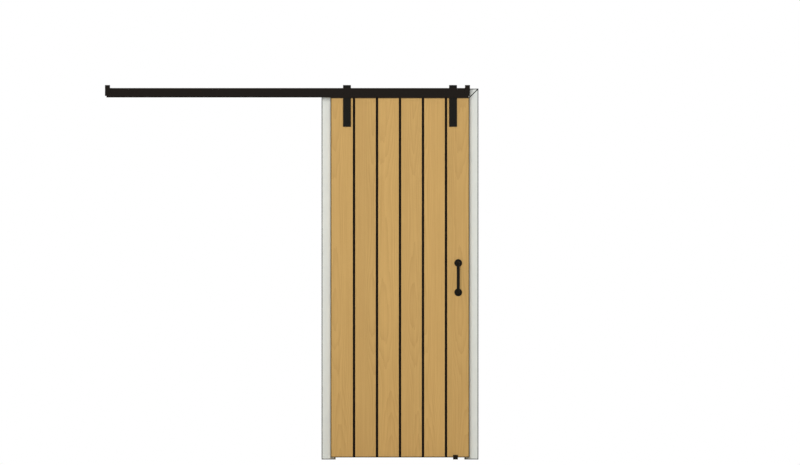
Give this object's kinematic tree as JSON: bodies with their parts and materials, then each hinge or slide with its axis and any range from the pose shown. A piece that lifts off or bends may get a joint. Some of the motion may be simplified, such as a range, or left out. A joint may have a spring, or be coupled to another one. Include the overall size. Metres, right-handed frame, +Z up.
{
  "type": "sliding barn door",
  "caption": "Boarded sliding barn door leaf hung from grooved wheels on a long black track over a painted, mitred doorway frame, with pull handle, end stops and floor guide.",
  "frame": {"origin": "on the floor, midway across the doorway, in the plane of the wall's front face", "axes": "+X to the right along the wall, +Y into the wall, +Z up; the front looks towards -Y"},
  "size_m": [2.214, 0.259, 2.2198],
  "materials": {
    "frame_paint": "pale grey-white satin paint on timber",
    "door_timber": "light tan timber, clear matt finish, upright grain",
    "ledge_timber": "light tan timber, clear matt finish, level grain",
    "stained_spline": "black stain",
    "black_steel": "black fine-texture powder coat",
    "zinc_steel": "zinc plated",
    "wheel_nylon": "turned nylon",
    "bearing_steel": "ground steel with dark seals",
    "bumper_rubber": "moulded black rubber",
    "guide_felt": "grey felt"
  },
  "bodies": {
    "frame": {"jamb_left": "frame_paint", "jamb_right": "frame_paint", "jamb_head": "frame_paint", "frame_screws": "zinc_steel", "front_casing_left": "frame_paint", "front_casing_right": "frame_paint", "front_casing_head": "frame_paint", "rear_casing_left": "frame_paint", "rear_casing_right": "frame_paint", "rear_casing_head": "frame_paint", "running_rail": "black_steel", "casing_spacers": "black_steel", "wall_spacers": "black_steel", "rail_screws": "black_steel", "cover_bar": "black_steel", "end_stop_left": "black_steel", "end_stop_right": "black_steel", "bumper_left": "bumper_rubber", "bumper_right": "bumper_rubber", "stop_set_screws": "zinc_steel", "floor_guide": "black_steel", "guide_pads": "guide_felt"},
    "door": {"board_1": "door_timber", "board_2": "door_timber", "board_3": "door_timber", "board_4": "door_timber", "board_5": "door_timber", "board_6": "door_timber", "spline_1": "stained_spline", "spline_2": "stained_spline", "spline_3": "stained_spline", "spline_4": "stained_spline", "spline_5": "stained_spline", "ledge_top": "ledge_timber", "ledge_middle": "ledge_timber", "ledge_bottom": "ledge_timber", "ledge_screws": "zinc_steel", "hanger_strap_left": "black_steel", "hanger_strap_right": "black_steel", "strap_bolts": "black_steel", "strap_washers": "zinc_steel", "strap_nuts": "zinc_steel", "axle_left": "black_steel", "axle_right": "black_steel", "axle_sleeves_left": "zinc_steel", "axle_sleeves_right": "zinc_steel", "axle_nut_left": "zinc_steel", "axle_nut_right": "zinc_steel", "handle_grip": "black_steel", "handle_rose_top": "black_steel", "handle_rose_bottom": "black_steel", "handle_bolts": "zinc_steel", "handle_washers": "zinc_steel"},
    "left_wheel": {"wheel_left": "wheel_nylon", "bearing_left": "bearing_steel"},
    "right_wheel": {"wheel_right": "wheel_nylon", "bearing_right": "bearing_steel"}
  },
  "joints": [
    {"name": "door_slide", "type": "slide", "parent": "frame", "child": "door", "axis": [-1, 0, 0], "range_m": [-0.0367, 1.3707]},
    {"name": "left_wheel_spin", "type": "hinge", "parent": "door", "child": "left_wheel", "pos_m": [-0.31433, -0.056, 2.1953], "axis": [0, 1, 0], "continuous": true},
    {"name": "right_wheel_spin", "type": "hinge", "parent": "door", "child": "right_wheel", "pos_m": [0.31433, -0.056, 2.1953], "axis": [0, 1, 0], "continuous": true}
  ],
  "couplings": [
    {"joint": "left_wheel_spin", "follows": "door_slide", "rad_per_m": -58.824},
    {"joint": "right_wheel_spin", "follows": "door_slide", "rad_per_m": -58.824}
  ]
}
